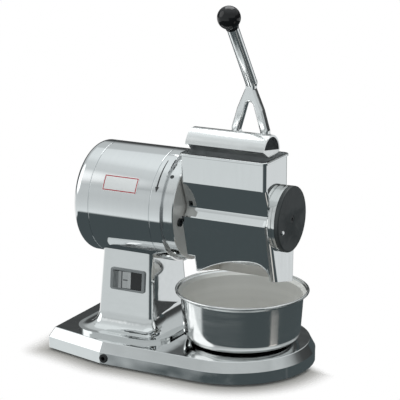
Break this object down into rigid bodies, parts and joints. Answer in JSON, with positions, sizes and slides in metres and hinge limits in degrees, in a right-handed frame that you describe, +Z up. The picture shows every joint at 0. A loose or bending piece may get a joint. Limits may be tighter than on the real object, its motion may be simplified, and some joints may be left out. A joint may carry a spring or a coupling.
{
  "type": "electric grater",
  "caption": "Electric grater: a motor on a cast column turns a grating roller under a hopper, fed by a lever presser with a ball knob, over a bowl on a rounded base.",
  "frame": {"origin": "on the floor under the middle of the base plate", "axes": "+Z up; +X along the motor axis from the motor towards the hand wheel; +Y to the back of the machine, so the switch and the sloped hopper face -Y"},
  "size_m": [0.408, 0.258, 0.5625],
  "materials": {
    "cast_polished": "polished casting",
    "head_polished": "polished casting",
    "casing_polished": "mirror polished sheet",
    "hopper_steel": "mirror polished sheet",
    "bowl_steel": "polished outside, satin inside",
    "lever_polished": "polished casting",
    "presser_aluminium": "polished casting",
    "collar_aluminium": "turned",
    "cast_plain": "as cast",
    "sheet_steel": "zinc plated",
    "screw_steel": "plated",
    "screw_black": "black oxide",
    "shaft_steel": "ground",
    "bearing_steel": "ground",
    "core_steel": "laminated",
    "roller_steel": "punched sheet",
    "rivet_chrome": "bright",
    "copper_winding": "lacquered copper wire",
    "capacitor_shell": "drawn can",
    "rubber": "matt",
    "black_plastic": "matt",
    "grey_plastic": "satin",
    "rocker_plastic": "satin",
    "white_plastic": "satin",
    "washer_plastic": "natural",
    "wheel_plastic": "matt",
    "knob_plastic": "glossy"
  },
  "bodies": {
    "stand": {"base_plate": "cast_polished", "bottom_cover": "sheet_steel", "rubber_feet": "rubber", "foot_screws": "screw_steel", "column": "cast_polished", "column_bolts": "screw_steel", "cable_gland": "black_plastic", "gland_nut": "black_plastic", "switch_bezel": "grey_plastic", "switch_body": "black_plastic", "capacitor": "capacitor_shell", "capacitor_clip": "sheet_steel", "terminal_block": "white_plastic", "motor_casing": "casing_polished", "motor_end_cap": "casing_polished", "casing_bolts": "screw_steel", "motor_flange": "cast_plain", "rear_shield": "cast_plain", "through_bolts": "screw_steel", "stator_core": "core_steel", "stator_winding": "copper_winding", "front_outer_ring": "bearing_steel", "front_balls": "bearing_steel", "rear_outer_ring": "bearing_steel", "rear_balls": "bearing_steel", "roller_housing": "head_polished", "head_bolts": "screw_black", "rim_screws": "screw_black", "shaft_seal": "rubber", "hopper": "hopper_steel", "roller_collar": "collar_aluminium", "collar_screws": "screw_steel", "hinge_pin": "shaft_steel", "hinge_clips": "screw_steel", "hinge_washers": "washer_plastic"},
    "drive": {"motor_shaft": "shaft_steel", "rotor_core": "core_steel", "front_inner_ring": "bearing_steel", "rear_inner_ring": "bearing_steel", "cooling_fan": "black_plastic", "roller_drum": "roller_steel", "roller_hubs": "cast_plain", "drive_pin": "shaft_steel", "hand_wheel": "wheel_plastic", "wheel_screw": "black_plastic", "wheel_rivet": "rivet_chrome"},
    "lever": {"lever_arm": "lever_polished", "presser": "presser_aluminium", "presser_screws": "screw_steel", "ball_knob": "knob_plastic", "knob_nut": "knob_plastic"},
    "rocker": {"switch_rocker": "rocker_plastic"},
    "bowl": {"bowl": "bowl_steel"}
  },
  "joints": [
    {"name": "roller_turn", "type": "hinge", "parent": "stand", "child": "drive", "pos_m": [0.085, 0, 0.239], "axis": [1, 0, 0], "continuous": true},
    {"name": "lever_swing", "type": "hinge", "parent": "stand", "child": "lever", "pos_m": [0.085, 0.026, 0.348], "axis": [1, 0, 0], "range_deg": [-60, 54]},
    {"name": "switch_rock", "type": "hinge", "parent": "stand", "child": "rocker", "pos_m": [-0.082, -0.05362, 0.1207], "axis": [0, 0.0997, 0.995], "range_deg": [-14, 0]},
    {"name": "bowl_pull", "type": "slide", "parent": "stand", "child": "bowl", "axis": [0, -1, 0], "range_m": [0, 0.25]}
  ]
}
